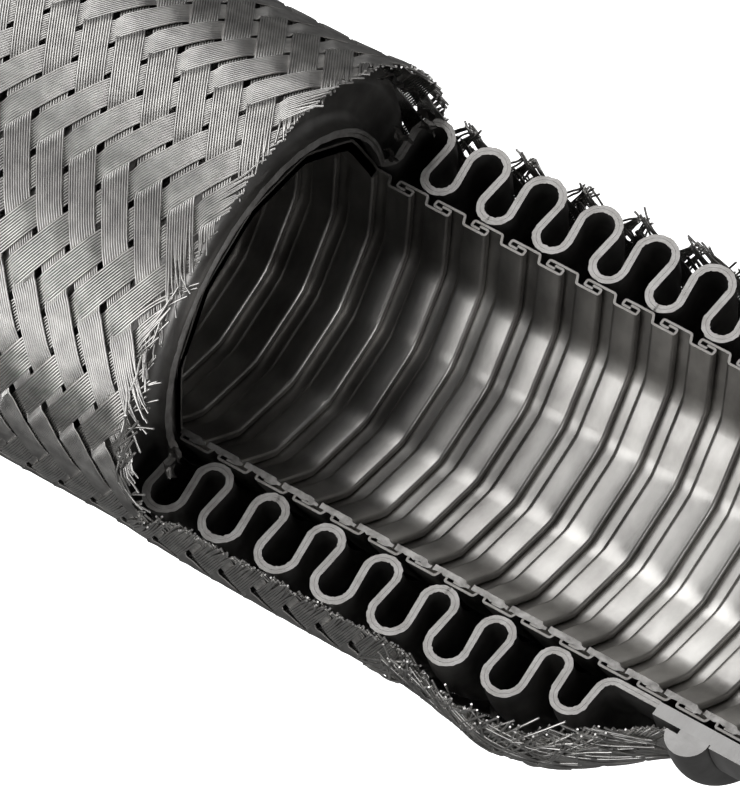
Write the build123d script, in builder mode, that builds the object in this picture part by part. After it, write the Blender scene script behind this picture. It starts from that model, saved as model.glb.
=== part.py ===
"""Metal bellows expansion joint: a braided, lined flexible coupling, cut open along its upper half.

The tube axis is +X, from the centre of the inlet pipe's end face to the outlet pipe's. The upper half
(+Z) is cut away between the window's two ends, so the braid, the two-ply bellows and the strip-wound
liner lie open. Each layer is one long piece, divided at crest tops into stiff and flexing lengths.
"""
from build123d import *
from math import acos, atan2, cos, hypot, pi, sin
import os

# Whole coupling, in millimetres
LENGTH = 256.0
MIDDLE = LENGTH / 2
WINDOW_START = 128.9
BRAID_CUT = 131.6
WINDOW_END = 236.0
BIG = 200.0

# Pipe stubs and their weld beads; a stub is turned down where the bead and the braid's end sit on it
PIPE_OUTER_R = 30.15
PIPE_INNER_R = 27.3
PIPE_LENGTH = 39.5
PIPE_FREE_LENGTH = 29.3
SEAT_R = 29.6
BEAD_START = 29.5
BEAD_WIDTH = 7.0
BEAD_R = 33.4

# Bellows: omega waves between the crests and the roots
WAVE_PITCH = 10.2
CREST_COUNT = 16
CREST_CENTRE_R = 35.27
CREST_BEND_R = 3.05
ROOT_CENTRE_R = 30.37
ROOT_BEND_R = 2.55
CUFF_R = ROOT_CENTRE_R - ROOT_BEND_R
END_CREST_CENTRE_R = 33.1
END_CREST_BEND_R = 2.6
END_ROOT_BEND_R = 2.35
PLY = 0.46
PLY_GAP = 0.04

# Braid: a thin tube, drawn in to the pipes at both ends and bulging where it was cut open
BRAID_OUTER_R = 40.2
BRAID_WALL = 0.8
BRAID_SEAT_R = 30.5
BRAID_IN_BEAD = 2.0

# Liner: a twelve-sided spiral of one strip, each turn hooked into the next
LINER_CORNERS = 12
LINER_PITCH = 6.85
LINER_INNER_R = 25.2
STRIP = 0.4
LEG_STEP = 0.5
LINER_START = 8.5

FIRST_CREST = MIDDLE - WAVE_PITCH * (CREST_COUNT - 1) / 2


def crest_x(number):
    """Axial place of a crest, counted from 1 at the inlet."""
    return FIRST_CREST + WAVE_PITCH * (number - 1)


# The name, first crest and last crest of each length; 0 and CREST_COUNT + 1 stand for the two pipe ends.
ZONES = [
    ("inlet_end", 0, 1),
    ("flex_1", 1, 3),
    ("link_1", 3, 4),
    ("flex_2", 4, 6),
    ("link_2", 6, 7),
    ("flex_3", 7, 10),
    ("link_3", 10, 11),
    ("flex_4", 11, 13),
    ("link_4", 13, 14),
    ("flex_5", 14, 16),
    ("outlet_end", 16, CREST_COUNT + 1),
]


def write(piece, name):
    piece.part.label = name
    export_step(piece.part, "parts/" + name + ".step")


def cut_window(start=WINDOW_START):
    """Takes the window's upper half away from the part being built."""
    with Locations(((start + WINDOW_END) / 2, 0, BIG / 2)):
        Box(WINDOW_END - start, BIG, BIG, mode=Mode.SUBTRACT)


# Bellows

def wave_circles():
    """Bend circles from the root before the first crest to the root after the last: x, r, bend radius."""
    circles = []
    for number in range(0, CREST_COUNT + 1):
        if number in (1, CREST_COUNT):
            circles.append((crest_x(number), END_CREST_CENTRE_R, END_CREST_BEND_R))
        elif number > 0:
            circles.append((crest_x(number), CREST_CENTRE_R, CREST_BEND_R))
        beside_end = number in (0, 1, CREST_COUNT - 1, CREST_COUNT)
        bend = END_ROOT_BEND_R if beside_end else ROOT_BEND_R
        circles.append((crest_x(number) + WAVE_PITCH / 2, CUFF_R + bend, bend))
    return circles


def tangent_angle(here, there, crest):
    """Angle round the first circle where the straight flank to the second one leaves it."""
    across = there[0] - here[0]
    up = there[1] - here[1]
    spread = acos((here[2] + there[2]) / hypot(across, up))
    return atan2(up, across) + (spread if crest else -spread)


def draw_wave(first, last, lift):
    """Draws one face of a ply, lifted off the middle surface, and returns its two end points."""
    circles = wave_circles()
    start = 2 * first - 1
    stop = 2 * last - 1
    if first == 0:
        start = 0
    if last > CREST_COUNT:
        stop = 2 * CREST_COUNT
    ends = []
    previous = None
    for place in range(start, stop + 1):
        x, r, bend = circles[place]
        crest = place % 2 == 1
        radius = bend + lift if crest else bend - lift
        middle = pi / 2 if crest else 3 * pi / 2
        angle_in = middle
        angle_out = middle
        if place > start:
            angle_in = tangent_angle(circles[place - 1], circles[place], not crest) + pi
        if place < stop:
            angle_out = tangent_angle(circles[place], circles[place + 1], crest)
            if not crest:
                angle_out += 2 * pi
        along = [angle_in, (angle_in + angle_out) / 2, angle_out]
        points = [(x + radius * cos(a), r + radius * sin(a)) for a in along]
        if previous:
            Line(previous, points[0])
        else:
            ends.append(points[0])
        ThreePointArc(*points)
        previous = points[-1]
    ends.append(previous)
    if first == 0:
        ends[0] = (PIPE_LENGTH, CUFF_R + lift)
        Line(ends[0], (circles[0][0], CUFF_R + lift))
    if last > CREST_COUNT:
        ends[1] = (LENGTH - PIPE_LENGTH, CUFF_R + lift)
        Line((circles[-1][0], CUFF_R + lift), ends[1])
    return ends


def make_ply(name, first, last, low, high):
    """One ply of the bellows between two crest tops, from `low` to `high` off the middle surface."""
    with BuildPart() as ply:
        with BuildSketch(Plane.XY):
            with BuildLine():
                inner_start, inner_end = draw_wave(first, last, low)
                outer_start, outer_end = draw_wave(first, last, high)
                Line(inner_start, outer_start)
                Line(inner_end, outer_end)
            make_face()
        revolve(axis=Axis.X)
        cut_window()
    write(ply, name)


# Braid

def braid_outline(drop):
    """Draws the braid's outer face, or its inner face when dropped by the wall, and returns its ends."""
    bead_edge = BEAD_START + BEAD_WIDTH
    inlet_shoulder = [(bead_edge, BRAID_SEAT_R), (41.0, 33.4), (46.5, 37.6), (52.0, 39.6), (58.0, BRAID_OUTER_R)]
    outlet_shoulder = [(121.0, BRAID_OUTER_R), (140.0, 41.15), (160.0, 41.35), (181.0, 41.4), (188.0, 42.5),
                       (194.0, 43.5), (201.0, 41.9), (209.0, 37.5), (215.0, 33.4), (LENGTH - bead_edge, BRAID_SEAT_R)]
    inlet = [(x, r - drop) for x, r in inlet_shoulder]
    outlet = [(x, r - drop) for x, r in outlet_shoulder]
    start = (bead_edge - BRAID_IN_BEAD, BRAID_SEAT_R - drop)
    end = (LENGTH - start[0], BRAID_SEAT_R - drop)
    level = (1, 0)
    Line(start, inlet[0])
    Spline(*inlet, tangents=((1, 0.3), level))
    Line(inlet[-1], outlet[0])
    Spline(*outlet, tangents=(level, (1, -0.3)))
    Line(outlet[-1], end)
    return start, end


def make_braid(name, start, end):
    """The braid's tube between two axial stations."""
    with BuildPart() as braid:
        with BuildSketch(Plane.XY):
            with BuildLine():
                outer_start, outer_end = braid_outline(0)
                inner_start, inner_end = braid_outline(BRAID_WALL)
                Line(outer_start, inner_start)
                Line(outer_end, inner_end)
            make_face()
            with Locations(((start + end) / 2, 0)):
                Rectangle(end - start, BIG, mode=Mode.INTERSECT)
        revolve(axis=Axis.X)
        cut_window(BRAID_CUT)
    write(braid, name)


# Liner

def strip_outline():
    """Corners of the strip's hooked section: axial place and radius at a corner of the twelve sides."""
    r1 = LINER_INNER_R + STRIP / 2
    r2, r3, r4 = (r1 + LEG_STEP * level for level in (1, 2, 3))
    spine = [(-4.0, r2), (-5.5, r2), (-5.5, r4), (-0.45, r4), (0.2, r1), (4.15, r1), (4.15, r3), (2.6, r3)]
    normals = []
    for a, b in zip(spine, spine[1:]):
        run = hypot(b[0] - a[0], b[1] - a[1])
        normals.append(((a[1] - b[1]) / run, (b[0] - a[0]) / run))
    faces = []
    for half in (STRIP / 2, -STRIP / 2):
        face = []
        for place, point in enumerate(spine):
            n1 = normals[max(place - 1, 0)]
            n2 = normals[min(place, len(normals) - 1)]
            reach = half / (1 + n1[0] * n2[0] + n1[1] * n2[1])
            face.append((point[0] + reach * (n1[0] + n2[0]), point[1] + reach * (n1[1] + n2[1])))
        faces.append(face)
    return faces[0] + faces[1][::-1]


def liner_x(step):
    """Axial place of the strip after a number of corner-to-corner steps."""
    return LINER_START + LINER_PITCH * step / LINER_CORNERS


def liner_step(x):
    """The step whose strip lies nearest to an axial place."""
    return round((x - LINER_START) * LINER_CORNERS / LINER_PITCH)


def strip_sections(outline, first, last):
    """The strip's section at each corner from one step to another."""
    sections = []
    for step in range(first, last + 1):
        angle = 2 * pi * step / LINER_CORNERS
        corner = Plane(origin=(liner_x(step), 0, 0), x_dir=(1, 0, 0), z_dir=(0, -sin(angle), cos(angle)))
        with BuildSketch(corner) as section:
            with BuildLine():
                Polyline(*outline, close=True)
            make_face()
        sections.append(section.sketch)
    return sections


def make_liner(name, first, last):
    """The strip between two steps; in the window only its lower half turns are left."""
    outline = strip_outline()
    half_turn = LINER_CORNERS // 2
    with BuildPart() as liner:
        if liner_x(last) < WINDOW_START - LINER_PITCH:
            loft(sections=strip_sections(outline, first, last), ruled=True)
        else:
            runs = {}
            for step in range(first, last):
                runs.setdefault(step // half_turn, []).append(step)
            for turn, steps in runs.items():
                upper = turn % 2 == 0
                middle = liner_x(turn * half_turn + half_turn / 2)
                if upper and WINDOW_START + LINER_PITCH < middle < WINDOW_END - LINER_PITCH:
                    continue
                loft(sections=strip_sections(outline, steps[0], steps[-1] + 1), ruled=True)
        cut_window()
    write(liner, name)


# Pipe stubs and weld beads

def make_pipe(name, end, way):
    """A pipe stub from its free end, running inwards along X when `way` is 1 and outwards when -1."""
    with BuildPart() as pipe:
        with BuildSketch(Plane.XY):
            with BuildLine():
                Polyline((end, PIPE_INNER_R), (end, PIPE_OUTER_R), (end + way * PIPE_FREE_LENGTH, PIPE_OUTER_R),
                         (end + way * PIPE_FREE_LENGTH, SEAT_R), (end + way * PIPE_LENGTH, SEAT_R),
                         (end + way * PIPE_LENGTH, PIPE_INNER_R), close=True)
            make_face()
        revolve(axis=Axis.X)
        cut_window()
    write(pipe, name)


def make_bead(name, end, way):
    """A rounded bead of weld round the pipe and over the braid's end."""
    outside = end + way * BEAD_START
    inside = outside + way * BEAD_WIDTH
    braid_end = inside - way * BRAID_IN_BEAD
    with BuildPart() as bead:
        with BuildSketch(Plane.XY):
            with BuildLine():
                ThreePointArc((outside, SEAT_R), ((outside + inside) / 2, BEAD_R), (inside, BRAID_SEAT_R))
                Polyline((inside, BRAID_SEAT_R), (braid_end, BRAID_SEAT_R), (braid_end, SEAT_R), (outside, SEAT_R))
            make_face()
        revolve(axis=Axis.X)
        cut_window()
    write(bead, name)


os.makedirs("parts", exist_ok=True)

make_pipe("inlet_pipe", 0, 1)
make_pipe("outlet_pipe", LENGTH, -1)
make_bead("inlet_weld", 0, 1)
make_bead("outlet_weld", LENGTH, -1)

for zone, first_crest, last_crest in ZONES:
    zone_start = BEAD_START if first_crest == 0 else crest_x(first_crest)
    zone_end = LENGTH - BEAD_START if last_crest > CREST_COUNT else crest_x(last_crest)
    make_braid("braid_" + zone, zone_start, zone_end)
    make_ply("bellows_outer_ply_" + zone, first_crest, last_crest, PLY_GAP / 2, PLY_GAP / 2 + PLY)
    make_ply("bellows_inner_ply_" + zone, first_crest, last_crest, -PLY_GAP / 2 - PLY, -PLY_GAP / 2)
    strip_start = 0 if first_crest == 0 else liner_step(zone_start)
    strip_end = liner_step(LENGTH - LINER_START) if last_crest > CREST_COUNT else liner_step(zone_end)
    make_liner("liner_" + zone, strip_start, strip_end)
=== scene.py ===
"""Looks of the cut-open braided bellows coupling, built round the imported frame.

Sizes in the geometry sections are millimetres, turned to metres when a mesh is made. Angles round the
tube are measured from +Z, the window's side, towards -Y.
"""
import math
import bpy
import numpy as np
from mathutils import Matrix, Vector


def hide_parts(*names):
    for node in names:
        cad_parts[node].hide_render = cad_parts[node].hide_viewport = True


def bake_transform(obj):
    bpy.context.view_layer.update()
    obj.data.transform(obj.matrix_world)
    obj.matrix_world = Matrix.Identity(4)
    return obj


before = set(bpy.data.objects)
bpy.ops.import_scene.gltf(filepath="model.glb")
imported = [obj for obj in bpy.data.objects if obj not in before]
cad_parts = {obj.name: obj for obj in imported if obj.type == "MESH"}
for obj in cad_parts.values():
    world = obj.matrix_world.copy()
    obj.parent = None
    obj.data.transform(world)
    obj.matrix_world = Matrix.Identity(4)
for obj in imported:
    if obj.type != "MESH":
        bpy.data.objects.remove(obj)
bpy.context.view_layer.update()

MM = 0.001
TAU = 2 * math.pi
rng = np.random.default_rng(7)

# Driving sizes, as in the CAD model
LENGTH = 256.0
CUT_X = 128.9
BRAID_CUT = 131.9
WINDOW_END = 236.0
WAVE_PITCH = 10.2
CREST_COUNT = 16
FIRST_CREST = LENGTH / 2 - WAVE_PITCH * (CREST_COUNT - 1) / 2
PIPE_LENGTH = 39.5
CUFF_R = 27.82
LINER_PITCH = 6.85
LINER_CORNERS = 12
LINER_START = 8.5


def crest_x(number):
    return FIRST_CREST + WAVE_PITCH * (number - 1)


# The tube's flexing lengths: joint's two bodies, and the crests where the bending starts and ends
ZONES = [
    (("inlet_end", "flex_1", "link_1"), 0.0, crest_x(3.5)),
    (("flex_2", "link_2"), crest_x(3.5), crest_x(6.5)),
    (("flex_3",), crest_x(6.5), crest_x(10.5)),
    (("link_3", "flex_4", "link_4"), crest_x(10.5), crest_x(13.5)),
    (("flex_5", "outlet_end"), crest_x(13.5), LENGTH),
]


def make_mesh(name, points, faces, material, smooth=True):
    """A mesh object from an array of points in millimetres and an array of faces, all with one size."""
    mesh = bpy.data.meshes.new(name)
    faces = np.asarray(faces, np.int32)
    count, sides = faces.shape
    mesh.vertices.add(len(points))
    mesh.vertices.foreach_set("co", (np.asarray(points, float) * MM).ravel().astype(np.float32))
    mesh.loops.add(count * sides)
    mesh.loops.foreach_set("vertex_index", faces.ravel())
    mesh.polygons.add(count)
    mesh.polygons.foreach_set("loop_start", np.arange(0, count * sides, sides, dtype=np.int32))
    mesh.update(calc_edges=True)
    mesh.validate()
    mesh.polygons.foreach_set("use_smooth", np.full(len(mesh.polygons), smooth))
    mesh.materials.append(material)
    obj = bpy.data.objects.new(name, mesh)
    bpy.context.scene.collection.objects.link(obj)
    return obj


class Parts:
    """Gathers points and faces, in millimetres, for one mesh."""

    def __init__(self):
        self.points = []
        self.faces = []
        self.count = 0

    def add(self, points, faces):
        self.points.append(points)
        self.faces.append(faces + self.count)
        self.count += len(points)

    def make(self, name, material, smooth=True):
        return make_mesh(name, np.vstack(self.points), np.vstack(self.faces), material, smooth)


def to_space(x, angle, r):
    return np.stack([x, -r * np.sin(angle), r * np.cos(angle)], axis=-1)


def zone_of(x):
    """Which length of the coupling an axial place lies in."""
    for place, (_, _, end) in enumerate(ZONES):
        if x <= end:
            return place
    return len(ZONES) - 1


def runs(keep):
    """First and last index of each unbroken run of true values."""
    starts = np.flatnonzero(keep & ~np.concatenate([[False], keep[:-1]]))
    stops = np.flatnonzero(keep & ~np.concatenate([keep[1:], [False]]))
    return zip(starts, stops)


def attach(obj, place, layer):
    """Bakes the piece's placement into its mesh; given a layer, the piece stands for that length's CAD nodes,
    which are hidden.
    """
    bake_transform(obj)
    if layer:
        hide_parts(*[layer + zone for zone in ZONES[place][0]])


# Materials

def metal(name, dark, light, rough_low, rough_high, scale, stretch=(1, 1, 1), bump=0.0, bump_scale=1.0):
    """Bare metal whose tone and roughness wander, with fine bumps."""
    material = bpy.data.materials.new(name)
    material.use_nodes = True
    nodes = material.node_tree.nodes
    links = material.node_tree.links
    shader = nodes["Principled BSDF"]
    shader.inputs["Metallic"].default_value = 1.0
    coords = nodes.new("ShaderNodeTexCoord")
    mapping = nodes.new("ShaderNodeMapping")
    mapping.inputs["Scale"].default_value = stretch
    noise = nodes.new("ShaderNodeTexNoise")
    noise.inputs["Scale"].default_value = scale
    noise.inputs["Detail"].default_value = 6.0
    noise.inputs["Roughness"].default_value = 0.6
    tone = nodes.new("ShaderNodeValToRGB")
    tone.color_ramp.elements[0].position = 0.35
    tone.color_ramp.elements[0].color = (*dark, 1)
    tone.color_ramp.elements[1].position = 0.65
    tone.color_ramp.elements[1].color = (*light, 1)
    rough = nodes.new("ShaderNodeMapRange")
    rough.inputs["To Min"].default_value = rough_low
    rough.inputs["To Max"].default_value = rough_high
    links.new(coords.outputs["Object"], mapping.inputs["Vector"])
    links.new(mapping.outputs["Vector"], noise.inputs["Vector"])
    links.new(noise.outputs["Fac"], tone.inputs["Fac"])
    links.new(noise.outputs["Fac"], rough.inputs["Value"])
    links.new(tone.outputs["Color"], shader.inputs["Base Color"])
    links.new(rough.outputs["Result"], shader.inputs["Roughness"])
    if bump:
        grain = nodes.new("ShaderNodeTexNoise")
        grain.inputs["Scale"].default_value = scale * bump_scale
        grain.inputs["Detail"].default_value = 4.0
        bumps = nodes.new("ShaderNodeBump")
        bumps.inputs["Strength"].default_value = bump
        bumps.inputs["Distance"].default_value = 0.0001
        links.new(mapping.outputs["Vector"], grain.inputs["Vector"])
        links.new(grain.outputs["Fac"], bumps.inputs["Height"])
        links.new(bumps.outputs["Normal"], shader.inputs["Normal"])
    return material


WIRE = metal("braid wire", (0.43, 0.42, 0.41), (0.62, 0.61, 0.59), 0.24, 0.42, 350.0)
# Lighter than the wire: a painted highlight that makes the wires' cut ends show as bright dots.
WIRE_END_HIGHLIGHT = metal("cut wire end painted highlight", (0.62, 0.61, 0.59), (0.8, 0.79, 0.77), 0.3, 0.5, 900.0)
BELLOWS = metal("bellows sheet", (0.22, 0.215, 0.21), (0.4, 0.39, 0.38), 0.3, 0.5, 120.0,
                bump=0.2, bump_scale=8.0)
CUT_FACE = metal("cut sheet edge", (0.27, 0.26, 0.25), (0.42, 0.41, 0.4), 0.45, 0.65, 400.0,
                 bump=0.6, bump_scale=5.0)
LINER_CUT = metal("cut strip edge", (0.2, 0.19, 0.18), (0.3, 0.29, 0.28), 0.45, 0.65, 400.0,
                  bump=0.5, bump_scale=5.0)
# Torn sheet: nearly black at its dark end, as painted shade for the hollows between braid, bellows and liner
# where the flaps lie; the flaps' crumpled shape is real.
TORN_SHEET_SHADE = metal("torn sheet painted shade", (0.05, 0.048, 0.045), (0.26, 0.25, 0.24), 0.3, 0.5, 260.0,
                   bump=0.8, bump_scale=4.0)
EDGE = metal("smeared strip edge", (0.14, 0.135, 0.13), (0.34, 0.33, 0.32), 0.4, 0.6, 500.0,
             bump=0.6, bump_scale=4.0)
LINER = metal("liner strip", (0.3, 0.29, 0.28), (0.52, 0.51, 0.49), 0.26, 0.4, 55.0,
              stretch=(2, 1, 1), bump=0.12, bump_scale=12.0)
PIPE = metal("pipe steel", (0.27, 0.265, 0.26), (0.34, 0.335, 0.33), 0.42, 0.58, 60.0,
             stretch=(4, 1, 1), bump=0.3, bump_scale=12.0)
BEAD = metal("weld metal", (0.25, 0.245, 0.24), (0.33, 0.325, 0.32), 0.4, 0.55, 200.0,
             bump=0.4, bump_scale=5.0)


# Braid

STRANDS = 24
WIRES = 11
WIRE_D = 0.38
WIRE_SPREAD = 1.02
AXIAL_STEP = 5.95
ROUND_STEP = TAU / STRANDS
STRAND_GAP = 5.17
WEAVE_X = 1.79
WEAVE_ANGLE = math.radians(18.5)
WEAVE_LIFT = 0.22
BAND_CROWN = 0.05
CROSSING_HALF = 0.17
BRAID_MID_R = 39.75
BRAID_START = 35.0
BRAID_END = LENGTH - 35.0
SAMPLES = 4
SIDES = 5

# The braid's middle radius along the tube: a shoulder at each end, and a bulge where the window freed it
SHOULDER = np.array([
    (34.0, 30.1), (36.5, 30.3), (41.0, 33.0), (46.5, 37.1), (52.0, 39.1), (58.0, BRAID_MID_R),
    (121.0, BRAID_MID_R), (131.0, 40.4), (140.0, 40.75), (160.0, 40.95), (181.0, 41.0), (187.0, 42.0),
    (194.0, 43.1), (201.0, 41.5), (209.0, 37.1), (215.0, 33.0), (219.5, 30.6), (222.0, 30.1),
])


def smooth_curve(points, x):
    """A smooth curve through the points, level at both ends (monotone cubic)."""
    px, py = points[:, 0], points[:, 1]
    slope = np.diff(py) / np.diff(px)
    tangent = np.zeros(len(px))
    same = slope[1:] * slope[:-1] > 0
    mean = np.where(same, 2 * slope[1:] * slope[:-1] / np.where(same, slope[1:] + slope[:-1], 1), 0)
    tangent[1:-1] = mean
    place = np.clip(np.searchsorted(px, x) - 1, 0, len(px) - 2)
    width = px[place + 1] - px[place]
    t = np.clip((x - px[place]) / width, 0, 1)
    return (py[place] * (2 * t**3 - 3 * t**2 + 1) + tangent[place] * width * (t**3 - 2 * t**2 + t)
            + py[place + 1] * (3 * t**2 - 2 * t**3) + tangent[place + 1] * width * (t**3 - t**2))


def smooth_step(t):
    t = np.clip(t, 0, 1)
    return t * t * (3 - 2 * t)


def weave_height(phase):
    """1 where a band lies over, -1 where it lies under; it changes in the gaps between crossing bands."""
    width = 2 * CROSSING_HALF
    phase = np.mod(phase + 0.5, 4)
    down = smooth_step((phase - 2 + CROSSING_HALF) / width)
    up = smooth_step((phase - 4 + CROSSING_HALF) / width) + 1 - smooth_step((phase + CROSSING_HALF) / width)
    return 1 - 2 * down + 2 * up


def wire_path(family, strand, wire):
    """Points of one whole wire in axial place, angle and lift above the braid's middle."""
    side = wire - (WIRES - 1) / 2
    drift = side * WIRE_D * WIRE_SPREAD / STRAND_GAP
    first = math.floor(2 * (BRAID_START - WEAVE_X) / AXIAL_STEP) - strand
    last = math.ceil(2 * (BRAID_END - WEAVE_X) / AXIAL_STEP) - strand
    along = np.arange(first, last, 1 / SAMPLES)
    here = strand + drift
    if family == "A":
        height = weave_height(along - strand)
        v, u = (here + along) / 2, (along - here) / 2
    else:
        height = -weave_height(strand - along)
        v, u = (along + here) / 2, (here - along) / 2
    x = WEAVE_X + v * AXIAL_STEP
    angle = WEAVE_ANGLE + u * ROUND_STEP
    crown = BAND_CROWN * (1 - (2 * side / WIRES) ** 2)
    lift = height * WEAVE_LIFT + crown
    return x, angle, lift


def tube(points, normals):
    """Points and faces of a round wire along a line."""
    tangent = np.gradient(points, axis=0)
    tangent /= np.linalg.norm(tangent, axis=1)[:, None]
    normals = normals - tangent * np.sum(normals * tangent, axis=1)[:, None]
    normals /= np.linalg.norm(normals, axis=1)[:, None]
    across = np.cross(tangent, normals)
    angles = TAU * np.arange(SIDES) / SIDES
    ring = (np.cos(angles)[None, :, None] * normals[:, None, :]
            + np.sin(angles)[None, :, None] * across[:, None, :])
    verts = (points[:, None, :] + WIRE_D / 2 * ring).reshape(-1, 3)
    rows = np.arange(len(points) - 1)[:, None] * SIDES
    here = rows + np.arange(SIDES)[None, :]
    turn = rows + (np.arange(SIDES)[None, :] + 1) % SIDES
    faces = np.stack([here, turn, turn + SIDES, here + SIDES], axis=-1).reshape(-1, 4)
    return verts, faces


class Bundle:
    """Wires gathered for each length of the coupling, with their cut ends apart, which get a lighter tone as
    a painted highlight.
    """

    def __init__(self):
        self.wires = [Parts() for _ in ZONES]
        self.ends = [Parts() for _ in ZONES]

    def add(self, points, normals, caps):
        place = zone_of(points[:, 0].mean())
        verts, faces = tube(points, normals)
        self.wires[place].add(verts, faces)
        for bare, ring, step in ((caps[0], verts[:SIDES], -1), (caps[1], verts[-SIDES:], 1)):
            if bare:
                fan = [(i, (i + 1) % SIDES, SIDES)[::step] for i in range(SIDES)]
                self.ends[place].add(np.vstack([ring, ring.mean(axis=0)]), np.array(fan))


# How the cut wires' ends stand off the weave at each cut: reach along the wire, outward and sideways
LOOSE = {
    "ring": (5.0, 0.05, 0.25),
    "frayed": (9.0, 0.45, 1.2),
    "corner": (9.0, 0.25, 1.4),
    "lower": (6.0, 0.1, 0.35),
    "bulge": (15.0, 0.3, 2.2),
    "upper": (6.0, 0.12, 0.35),
}
LOOSE_LIMIT = 1.4
LEAST_END = 0.05

# Where the kinds of cut lie: axial reach of the bulge, and degrees round the ring for its frayed part
BULGE = (180, 212)
FRAYED = (25, 62)
RING_REACH = 3
FAR_SIDE_Y = 20

# Mean and spread of where a wire is cut: along the tube at the ring, and in height beside the window.
# On the far side the cut lies low, but a tuft stands up in each valley of the bellows.
RING_CUT = (0, 0.3)
LOWER_CUT = (-0.3, 0.35)
UPPER_CUT = (-5.0, 1.0)
TUFT_CUT = (0.8, 0.9)
TUFT_HALF = 3.0
TUFT_REACH = 6
TUFT_PULL = 0.6
TUFT_SHARE = 0.8

TUCK = 1.7
TUCK_LENGTH = 6
TUCK_END = 178
TUCK_END_LENGTH = 8
TUCK_TURN = math.radians(20)

STRAYS = 110
STRAY_LENGTH = (9, 22)
STRAY_START_X = (176, 213)
STRAY_START_TURN = (89, 2.5)
STRAY_SLOPE = (0.15, 1.2)
STRAY_WANDER = 1.2
STRAY_R = 42
STRAY_LIFT = 0.45
STRAY_RISE = 0.9
STRAY_ARCH = 0.35
STRAY_KEEP_X = (170, 218)
STRAY_POINTS = 12


def edge_tuck(x, angle):
    """How far the cut edges beside the window fall back onto the crests."""
    beside = smooth_step((x - BRAID_CUT) / TUCK_LENGTH)
    beside = beside * (1 - smooth_step((x - TUCK_END) / TUCK_END_LENGTH))
    turn = np.abs(np.mod(angle + math.pi, TAU) - math.pi)
    return TUCK * beside * (1 - smooth_step((turn - math.radians(90)) / TUCK_TURN))


def loosen(points, normals, at_end, kind):
    """Bends a wire's last few millimetres away from the weave at one of its cut ends."""
    reach, out, side = LOOSE[kind]
    reach = reach * rng.uniform(0.6, 1.3)
    out = out * rng.exponential(1.0)
    side = rng.normal(0, side)
    if not at_end:
        points = points[::-1]
        normals = normals[::-1]
    steps = np.linalg.norm(np.diff(points, axis=0), axis=1)
    to_end = np.concatenate([np.cumsum(steps[::-1])[::-1], [0]])
    along = points[-1] - points[-2]
    across = np.cross(along / np.linalg.norm(along), normals)
    bend = (np.clip(1 - to_end / reach, 0, 1) ** 2)[:, None]
    points = points + bend * (min(out, LOOSE_LIMIT) * normals + side * across)
    return points if at_end else points[::-1]


def cut_kind(point):
    """Which cut a wire's end lies on."""
    x, y, z = point
    if x > BRAID_CUT + RING_REACH:
        if y > FAR_SIDE_Y:
            return "upper"
        return "bulge" if BULGE[0] < x < BULGE[1] else "lower"
    turn = math.degrees(math.atan2(-y, z))
    if turn >= FRAYED[1]:
        return "corner"
    return "frayed" if turn > FRAYED[0] else "ring"


def valley_offset(x):
    """Signed axial distance to the nearest valley of the bellows."""
    return np.mod(x - crest_x(0.5) + WAVE_PITCH / 2, WAVE_PITCH) - WAVE_PITCH / 2


def trim(points, normals, depth, start, stop):
    """One run of a wire, lengthened to where it meets the cut and loosened there, and which ends are bare."""
    run = points[start:stop + 1]
    out = normals[start:stop + 1]
    bare_start = start > 0 and depth[start - 1] > 0
    bare_stop = stop < len(points) - 1 and depth[stop + 1] > 0
    if bare_start:
        part = max(depth[start] / (depth[start] - depth[start - 1]), LEAST_END)
        run = np.vstack([points[start] + part * (points[start - 1] - points[start]), run])
        out = np.vstack([out[:1], out])
        run = loosen(run, out, False, cut_kind(run[0]))
    if bare_stop:
        part = max(depth[stop] / (depth[stop] - depth[stop + 1]), LEAST_END)
        run = np.vstack([run, points[stop] + part * (points[stop + 1] - points[stop])])
        out = np.vstack([out, out[-1:]])
        run = loosen(run, out, True, cut_kind(run[-1]))
    return run, out, bare_start, bare_stop


def add_wire(bundle, x, angle, lift):
    """Cuts one wire at the window and at the ends of its lengths, and adds what is left."""
    r = smooth_curve(SHOULDER, x) + lift - edge_tuck(x, angle)
    ragged_x = rng.normal(*RING_CUT)
    ragged_z = rng.normal(*LOWER_CUT)
    upper_z = rng.normal(*UPPER_CUT)
    tuft_z = rng.normal(*TUFT_CUT)
    valley = valley_offset(x)
    off_far_side = np.abs(np.mod(angle + math.pi / 2 + math.pi, TAU) - math.pi)
    at_cut = np.argmin(np.where(x < BRAID_CUT, np.inf, off_far_side))
    in_tuft = abs(valley[at_cut]) < TUFT_HALF and rng.random() < TUFT_SHARE
    if in_tuft:
        near = np.clip(1 - np.abs(x - x[at_cut]) / TUFT_REACH, 0, 1)
        x = x - TUFT_PULL * valley[at_cut] * smooth_step(near)
    points = to_space(x, angle, r)
    normals = to_space(np.zeros_like(x), angle, np.ones_like(x))
    level = np.where(points[:, 1] > FAR_SIDE_Y, tuft_z if in_tuft else upper_z, ragged_z)
    inside = (x > BRAID_START) & (x < BRAID_END)
    depth = np.minimum(points[:, 0] - BRAID_CUT - ragged_x, points[:, 2] - level)
    for start, stop in runs(inside & (depth <= 0)):
        if stop - start < 2:
            continue
        run, out, bare_start, bare_stop = trim(points, normals, depth, start, stop)
        place = np.array([zone_of(value) for value in run[:, 0]])
        breaks = [0] + list(1 + np.flatnonzero(np.diff(place) != 0)) + [len(run) - 1]
        for low, high in zip(breaks, breaks[1:]):
            if high - low < 1:
                continue
            section = slice(low, high + 1)
            caps = (bare_start and low == 0, bare_stop and high == len(run) - 1)
            bundle.add(run[section], out[section], caps)


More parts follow.
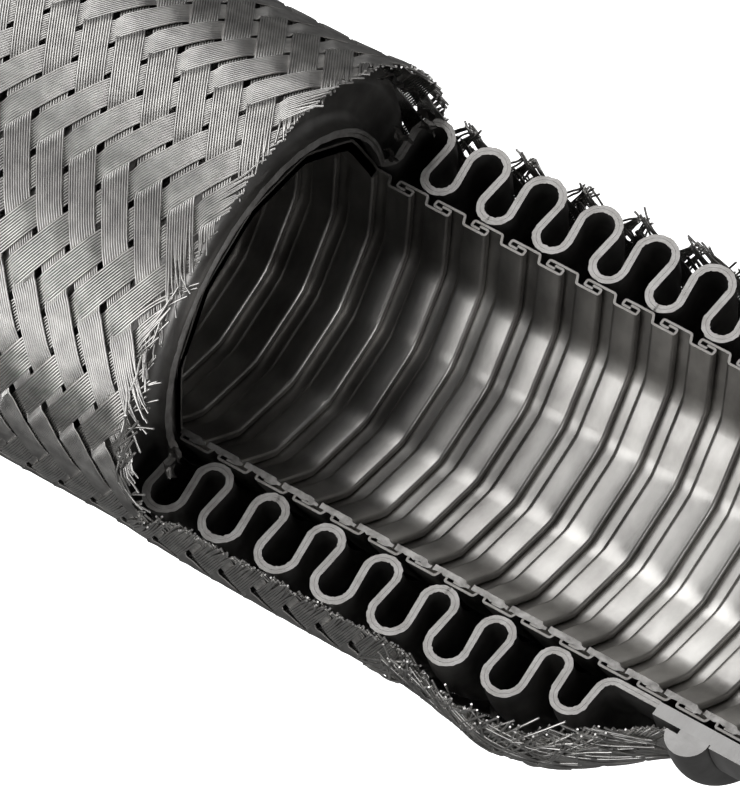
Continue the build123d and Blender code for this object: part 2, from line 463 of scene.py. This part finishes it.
def add_strays(bundle):
    """Loose wires that cross over the weave where it bulges beside the window's near edge."""
    for _ in range(STRAYS):
        length = rng.uniform(*STRAY_LENGTH)
        top_x = rng.uniform(*STRAY_START_X)
        top_angle = math.radians(rng.normal(*STRAY_START_TURN))
        slope = rng.choice((-1, 1)) * rng.uniform(*STRAY_SLOPE)
        s = np.linspace(0, 1, STRAY_POINTS)
        drop = s * length / math.hypot(1, slope)
        x = top_x + slope * drop + rng.normal(0, STRAY_WANDER) * s * (1 - s) * 4
        angle = top_angle + drop / STRAY_R
        r = smooth_curve(SHOULDER, x) + STRAY_LIFT + rng.uniform(0, STRAY_RISE) * (1 - s) ** 2
        r = r + STRAY_ARCH * np.sin(math.pi * s)
        keep = (x > STRAY_KEEP_X[0]) & (x < STRAY_KEEP_X[1])
        if keep.sum() < 4:
            continue
        points = to_space(x, angle, r)[keep]
        normals = to_space(np.zeros_like(x), angle, np.ones_like(x))[keep]
        bundle.add(points, normals, (True, True))


def build_braid():
    for family in "AB":
        bundle = Bundle()
        for strand in range(STRANDS):
            for wire in range(WIRES):
                add_wire(bundle, *wire_path(family, strand, wire))
        if family == "B":
            add_strays(bundle)
        for place, (wires, ends) in enumerate(zip(bundle.wires, bundle.ends)):
            if not wires.count:
                continue
            bands = wires.make(f"braid_bands_{family}_{place + 1}", WIRE)
            attach(bands, place, "braid_" if family == "A" else None)
            if ends.count:
                # The cut ends' lighter tone is a painted highlight.
                highlighted_tips = ends.make(f"braid_wire_ends_{family}_{place + 1}", WIRE_END_HIGHLIGHT, smooth=False)
                attach(highlighted_tips, place, None)


# Bellows

# Centre radius and bend radius of the wave's round stretches
CREST = (35.27, 3.05)
ROOT = (30.37, 2.55)
END_CREST = (33.1, 2.6)
END_ROOT = (30.17, 2.35)
PLY = 0.46
PLY_GAP = 0.04
BURR = 0.15
ROUND_TURNS = 144
OVERLAP = 0.3
LEAST_LENGTH = 0.1


def wave_circles():
    """Axial place, centre radius and bend radius of each root and crest, in turn."""
    circles = []
    for number in range(0, CREST_COUNT + 1):
        if number in (1, CREST_COUNT):
            circles.append((crest_x(number), *END_CREST))
        elif number > 0:
            circles.append((crest_x(number), *CREST))
        root = END_ROOT if number in (0, 1, CREST_COUNT - 1, CREST_COUNT) else ROOT
        circles.append((crest_x(number) + WAVE_PITCH / 2, *root))
    return circles


def wave_line(lift, steps=12):
    """Points of one face of a ply along the whole bellows, lifted off the middle surface."""
    circles = wave_circles()
    spots = [(PIPE_LENGTH, CUFF_R + lift)]
    for place, (x, r, bend) in enumerate(circles):
        crest = place % 2 == 1
        radius = bend + lift if crest else bend - lift
        first = last = math.pi / 2 if crest else 1.5 * math.pi
        for other, side in ((place - 1, "in"), (place + 1, "out")):
            if not 0 <= other < len(circles):
                continue
            near, far = (circles[other], circles[place]) if side == "in" else (circles[place], circles[other])
            starts_crest = crest if side == "out" else not crest
            spread = math.acos((near[2] + far[2]) / math.hypot(far[0] - near[0], far[1] - near[1]))
            angle = math.atan2(far[1] - near[1], far[0] - near[0]) + (spread if starts_crest else -spread)
            if side == "in":
                first = angle + math.pi
            else:
                last = angle if crest else angle + TAU
        for t in np.linspace(first, last, 2 * steps):
            spots.append((x + radius * math.cos(t), r + radius * math.sin(t)))
    spots.append((LENGTH - PIPE_LENGTH, CUFF_R + lift))
    return np.array(spots)


def stretches(start, end):
    """Parts of a length of tube: whole round before the cut, the lower half after it."""
    for whole, x0, x1 in ((True, start, min(end, CUT_X)), (False, max(start, CUT_X), end)):
        if x1 - x0 >= LEAST_LENGTH:
            yield whole, x0, x1


def add_cut_face(cuts, inner, outer, is_inner_ply):
    """The band between a ply's two faces where the saw went through, with a burr on its free side."""
    pair = np.stack([inner, outer], axis=1)
    across = pair[:, 1] - pair[:, 0]
    across /= np.linalg.norm(across, axis=1)[:, None]
    lip = (BURR * (1 + 0.3 * rng.normal(size=len(pair)))).clip(0.02)[:, None]
    if is_inner_ply:
        pair[:, 0] -= across * lip
    else:
        pair[:, 1] += across * lip
    k = np.arange(len(pair) - 1) * 2
    cuts.add(pair.reshape(-1, 3), np.stack([k, k + 1, k + 3, k + 2], axis=-1))


def add_sheet(sheet, cuts, inner, outer, whole, at_ring, is_inner_ply):
    """One stretch of a ply, swept round, with its cut faces."""
    turns = ROUND_TURNS if whole else ROUND_TURNS // 2
    angles = np.linspace(0, TAU, turns + 1) if whole else np.linspace(math.pi / 2, 1.5 * math.pi, turns + 1)
    rows = len(inner)
    grid = []
    for line in (inner, outer):
        x = np.broadcast_to(line[:, :1], (rows, turns + 1))
        grid.append(to_space(x, angles[None, :], line[:, 1:]))
    i, j = np.meshgrid(np.arange(rows - 1), np.arange(turns), indexing="ij")
    here = (i * (turns + 1) + j).ravel()
    quad = np.stack([here, here + 1, here + turns + 2, here + turns + 1], axis=-1)
    points = np.concatenate([face.reshape(-1, 3) for face in grid])
    sheet.add(points, np.vstack([quad, quad[:, ::-1] + rows * (turns + 1)]))
    if at_ring:
        add_cut_face(cuts, grid[0][-1], grid[1][-1], is_inner_ply)
    if not whole:
        for side in (0, turns):
            add_cut_face(cuts, grid[0][:, side], grid[1][:, side], is_inner_ply)


def build_ply(name, low, high):
    inner = wave_line(low)
    outer = wave_line(high)
    middle = (inner[:, 0] + outer[:, 0]) / 2
    for place, (_, start, end) in enumerate(ZONES):
        sheet, cuts = Parts(), Parts()
        for whole, x0, x1 in stretches(start, end):
            keep = (middle >= x0 - OVERLAP) & (middle <= x1 + OVERLAP)
            at_ring = whole and x1 == CUT_X
            add_sheet(sheet, cuts, inner[keep], outer[keep], whole, at_ring, low < 0)
        if not sheet.count:
            continue
        attach(sheet.make(f"{name}_{place + 1}", BELLOWS), place, name + "_")
        if cuts.count:
            rim = cuts.make(f"{name}_cut_{place + 1}", CUT_FACE, smooth=False)
            attach(rim, place, None)


# Torn flaps of sheet where the window's cuts meet, coloured nearly black as painted shade for the hollows
# they lie in: axial place, angle in degrees, radius and size
TORN = [
    (131.2, -84, 37.2, 4.5),
    (130.6, -73, 37.4, 5.0),
    (130.2, -62, 37.6, 4.5),
    (133.6, -82, 35.0, 3.6),
    (129.9, -87, 29.2, 3.0),
    (131.4, -80, 31.5, 3.6),
    (131.6, 86, 30.4, 3.4),
    (133.0, 84, 33.6, 3.0),
]


FLAP_ROWS, FLAP_COLUMNS = 11, 9


def build_torn():
    for number, (x, turn, r, size) in enumerate(TORN):
        u, v = np.meshgrid(np.linspace(-1, 1, FLAP_ROWS), np.linspace(-1, 1, FLAP_COLUMNS), indexing="ij")
        wave = rng.uniform(1.5, 3.5, 4)
        phase = rng.uniform(0, TAU, 4)
        fold = np.sin(wave[0] * u + phase[0]) * np.cos(wave[1] * v + phase[1])
        curl = 0.5 * np.sin(wave[2] * (u + v) + phase[2]) + 0.15 * rng.normal(size=u.shape)
        edge = 1 + 0.12 * rng.normal(size=u.shape) * (np.maximum(abs(u), abs(v)) > 0.95)
        axial = x + size * (0.34 * u * edge + 0.12 * curl)
        angle = math.radians(turn) + size * 0.5 * v * edge / r
        height = r + size * (0.16 * fold + 0.12 * curl)
        points = to_space(axial, angle, height).reshape(-1, 3)
        i, j = np.meshgrid(np.arange(FLAP_ROWS - 1), np.arange(FLAP_COLUMNS - 1), indexing="ij")
        k = (i * FLAP_COLUMNS + j).ravel()
        faces = np.stack([k, k + 1, k + FLAP_COLUMNS + 1, k + FLAP_COLUMNS], axis=-1)
        # The flap's near-black tone is painted shade.
        flap = make_mesh(f"torn_flap_painted_shade_{number + 1}", points, faces, TORN_SHEET_SHADE)
        attach(flap, zone_of(x), None)


# Liner

STRIP = 0.4
LEG_STEP = 0.5
LINER_INNER_R = 25.2
CORNER_STEPS = 6
BEND = 0.3
CORNER_SOFTNESS = 0.006
CORNER_SOFT_TURN = 0.035
SHARP_ANGLE = math.radians(35)
LOWER, UPPER, GONE = 0, 1, 2

RIM_POINTS = 14
RIM_START = -1.3
RIM_NOTCH = 0.35
RIM_INSET = 0.15
RIM_WIDTH = 1.0
RIM_LIFT = 0.03
RIM_RISE = (3.4, 1.4)
RIM_FALL = (4.2, 0.6)
RIM_WAVER = (0.03, 0.07)


def strip_outline():
    """Section of the hooked strip: axial place from its turn's middle, and radius."""
    r1 = LINER_INNER_R + STRIP / 2
    r2, r3, r4 = (r1 + LEG_STEP * level for level in (1, 2, 3))
    spine = [(-4.0, r2), (-5.5, r2), (-5.5, r4), (-0.45, r4), (0.2, r1), (4.15, r1), (4.15, r3), (2.6, r3)]
    line = round_corners(np.array(spine), BEND)
    direction = np.gradient(line, axis=0)
    direction /= np.linalg.norm(direction, axis=1)[:, None]
    normal = np.stack([-direction[:, 1], direction[:, 0]], axis=-1)
    half = STRIP / 2
    return np.concatenate([line + normal * half, (line - normal * half)[::-1]])


def round_corners(points, radius, steps=3):
    """The same line with each corner replaced by a short curve."""
    out = [points[0]]
    for before, corner, after in zip(points, points[1:], points[2:]):
        into = corner - before
        away = after - corner
        reach = min(radius, np.linalg.norm(into) * 0.45, np.linalg.norm(away) * 0.45)
        start = corner - into / np.linalg.norm(into) * reach
        end = corner + away / np.linalg.norm(away) * reach
        for t in np.linspace(0, 1, steps + 1):
            out.append((1 - t) ** 2 * start + 2 * t * (1 - t) * corner + t**2 * end)
    out.append(points[-1])
    return np.array(out)


def side_factor(angle):
    """Radius of the softened twelve-sided shape, where a sharp corner is 1."""
    side = TAU / LINER_CORNERS
    off = np.mod(angle + side / 2, side) - side / 2
    flat = math.cos(side / 2) / np.cos(side / 2 - np.abs(off))
    return flat - CORNER_SOFTNESS * np.exp(-(off / CORNER_SOFT_TURN) ** 2)


def add_strip(strip, rows):
    """The closed strip along its rows of outline points."""
    count, sides = rows.shape[:2]
    i, j = np.meshgrid(np.arange(count - 1), np.arange(sides), indexing="ij")
    here = i * sides + j
    turn = i * sides + (j + 1) % sides
    quad = np.stack([here, turn, turn + sides, here + sides], axis=-1).reshape(-1, 4)
    strip.add(rows.reshape(-1, 3), quad)


def build_liner():
    outline = strip_outline()
    sides = len(outline)
    reach_back, reach_on = outline[:, 0].min(), outline[:, 0].max()
    last_turn = int((LENGTH - LINER_START * 2) / LINER_PITCH)
    per_turn = LINER_CORNERS * CORNER_STEPS
    steps = np.arange(0, last_turn * per_turn + 1)
    angle = -math.pi / 2 + TAU * steps / per_turn
    shift = LINER_START + LINER_PITCH * steps / per_turn
    x = shift[:, None] + outline[None, :, 0]
    whole = to_space(x, angle[:, None], side_factor(angle)[:, None] * outline[None, :, 1])
    # Above the window's level the strip is trimmed flat to the two planes that end the window
    trimmed = whole.copy()
    window_middle = (CUT_X + WINDOW_END) / 2
    trimmed[..., 0] = np.where(x < window_middle, np.minimum(x, CUT_X), np.maximum(x, WINDOW_END))
    upper = np.cos(angle) > 1e-6
    gone = upper & (shift + reach_back > CUT_X) & (shift + reach_on < WINDOW_END)
    complete = ~upper | (shift + reach_on <= CUT_X) | (shift + reach_back >= WINDOW_END)
    state = np.where(gone, GONE, np.where(upper, UPPER, LOWER))
    k = np.arange(sides // 2 - 1)
    cap = np.stack([k, k + 1, sides - 2 - k, sides - 1 - k], axis=-1)
    for place, (_, start, end) in enumerate(ZONES):
        strip, cuts = Parts(), Parts()
        inside = np.flatnonzero((shift >= start) & (shift < end))
        for run in np.split(inside, 1 + np.flatnonzero(np.diff(state[inside]))):
            kind = state[run[0]]
            if kind == GONE:
                continue
            first, last = run[0], run[-1]
            before = state[first - 1] if first else GONE
            after = state[last + 1] if last + 1 < len(state) else GONE
            low = first - 1 if before == kind or (kind == UPPER and before == LOWER) else first
            high = last + 1 if kind == UPPER and after == LOWER else last
            rows = (trimmed if kind == UPPER else whole)[low:high + 1]
            if len(rows) < 2:
                continue
            add_strip(strip, rows)
            if first == 0 or (kind == LOWER and not complete[first - 1]):
                cuts.add(rows[0], cap)
            if last + 1 == len(state) or (kind == LOWER and not complete[last + 1]):
                cuts.add(rows[-1], cap[:, ::-1])
        turns = strip.make(f"liner_strip_{place + 1}", LINER)
        turns.data.set_sharp_from_angle(angle=SHARP_ANGLE)
        attach(turns, place, "liner_")
        if cuts.count:
            attach(cuts.make(f"liner_cut_{place + 1}", LINER_CUT, smooth=False), place, None)
        build_liner_edge(place, start, end)


def build_liner_edge(place, start, end):
    """Beside the window's near edge the saw has smeared the strips into one thin rim with small notches."""
    rim = Parts()
    for x0 in np.arange(0, LENGTH, LINER_PITCH) + LINER_START + LINER_PITCH / 2:
        first = max(x0 + RIM_START, CUT_X + 0.2)
        last = min(x0 + RIM_START + LINER_PITCH - RIM_NOTCH, WINDOW_END)
        if not start <= x0 < end or last - first < 1:
            continue
        x = np.linspace(first, last, RIM_POINTS)
        inner = LINER_INNER_R - RIM_INSET + LEG_STEP * smooth_step((x - x0 - RIM_RISE[0]) / RIM_RISE[1])
        inner = inner + rng.normal(0, RIM_WAVER[0], RIM_POINTS)
        outer = inner + RIM_WIDTH + rng.normal(0, RIM_WAVER[1], RIM_POINTS)
        outer = outer - LEG_STEP * smooth_step((x - x0 - RIM_FALL[0]) / RIM_FALL[1])
        y = -np.stack([inner, outer], axis=1).ravel()
        k = 2 * np.arange(RIM_POINTS - 1)
        rim.add(np.stack([np.repeat(x, 2), y, np.full_like(y, RIM_LIFT)], axis=-1),
                np.stack([k, k + 2, k + 3, k + 1], axis=-1))
    if rim.count:
        attach(rim.make(f"liner_edge_{place + 1}", EDGE, smooth=False), place, None)


def join_to_layers(node, material):
    """The CAD solid's own mesh in a new object with the given material, baked in place, with the CAD solid
    hidden.
    """
    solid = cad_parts[node]
    mesh = solid.data.copy()
    mesh.transform(solid.matrix_world)
    mesh.materials.clear()
    mesh.materials.append(material)
    obj = bpy.data.objects.new(node + "_joined", mesh)
    bpy.context.scene.collection.objects.link(obj)
    attach(obj, len(ZONES) - 1, None)
    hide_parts(node)


# Floor, light and camera

def build_stage():
    bpy.ops.mesh.primitive_plane_add(size=12, location=(0.1, 0, -0.3))
    floor = bpy.context.object
    floor.name = "floor"
    material = bpy.data.materials.new("floor")
    material.use_nodes = True
    shader = material.node_tree.nodes["Principled BSDF"]
    shader.inputs["Base Color"].default_value = (0.95, 0.95, 0.95, 1)
    shader.inputs["Roughness"].default_value = 0.9
    shader.inputs["Emission Color"].default_value = (1, 1, 1, 1)
    shader.inputs["Emission Strength"].default_value = 1.0
    floor.data.materials.append(material)
    floor.visible_glossy = False
    floor.visible_diffuse = False

    world = bpy.data.worlds.new("studio")
    bpy.context.scene.world = world
    world.use_nodes = True
    world.node_tree.nodes["Background"].inputs["Color"].default_value = (1, 1, 1, 1)
    world.node_tree.nodes["Background"].inputs["Strength"].default_value = 0.11


# The view: its right and up in the frame's axes, its centre, and what the longer side spans there in metres
VIEW_RIGHT = Vector((0.8172, 0.5614, -0.1305)).normalized()
VIEW_UP = Vector((-0.4364, 0.7506, 0.496)).normalized()
VIEW_BACK = VIEW_RIGHT.cross(VIEW_UP).normalized()
VIEW_CENTRE = Vector((150.7, -7.0, 0.0)) * MM
VIEW_DISTANCE = 1.46
VIEW_LENGTH = 0.1191
SENSOR = 36.0


# Name, direction from the view's centre, distance, size and power
SOFTBOXES = [
    ("left_box", (-0.42, -0.8, 0.35), 0.8, (0.8, 0.7), 5.4),
    ("middle_box", (-0.4, -0.25, 0.88), 0.9, (0.6, 0.5), 1.3),
    ("top_box", (-0.37, 0.52, 0.76), 0.8, (0.7, 0.6), 3.9),
    ("right_box", (0.85, -0.35, 0.4), 0.8, (0.5, 0.4), 1.8),
]


def softbox(name, direction, distance, size, power):
    data = bpy.data.lights.new(name, "AREA")
    data.shape = "RECTANGLE"
    data.size, data.size_y = size
    data.energy = power
    light = bpy.data.objects.new(name, data)
    bpy.context.scene.collection.objects.link(light)
    direction = Vector(direction).normalized()
    light.location = VIEW_CENTRE + direction * distance
    light.rotation_euler = direction.to_track_quat("Z", "Y").to_euler()


def build_camera():
    data = bpy.data.cameras.new("camera")
    data.sensor_width = SENSOR
    data.lens = SENSOR * VIEW_DISTANCE / VIEW_LENGTH
    camera = bpy.data.objects.new("camera", data)
    bpy.context.scene.collection.objects.link(camera)
    up = VIEW_BACK.cross(VIEW_RIGHT)
    turn = Matrix((VIEW_RIGHT, up, VIEW_BACK)).transposed()
    camera.matrix_world = Matrix.Translation(VIEW_CENTRE + VIEW_BACK * VIEW_DISTANCE) @ turn.to_4x4()
    bpy.context.scene.camera = camera


bpy.context.scene.view_settings.view_transform = "Standard"
build_stage()
build_camera()
for box in SOFTBOXES:
    softbox(*box)
build_braid()
build_ply("bellows_outer_ply", PLY_GAP / 2, PLY_GAP / 2 + PLY)
build_ply("bellows_inner_ply", -PLY_GAP / 2 - PLY, -PLY_GAP / 2)
build_torn()
build_liner()
for node, material in (("inlet_pipe", PIPE), ("inlet_weld", BEAD)):
    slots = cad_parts[node].data.materials
    slots.clear()
    slots.append(material)
join_to_layers("outlet_pipe", PIPE)
join_to_layers("outlet_weld", BEAD)
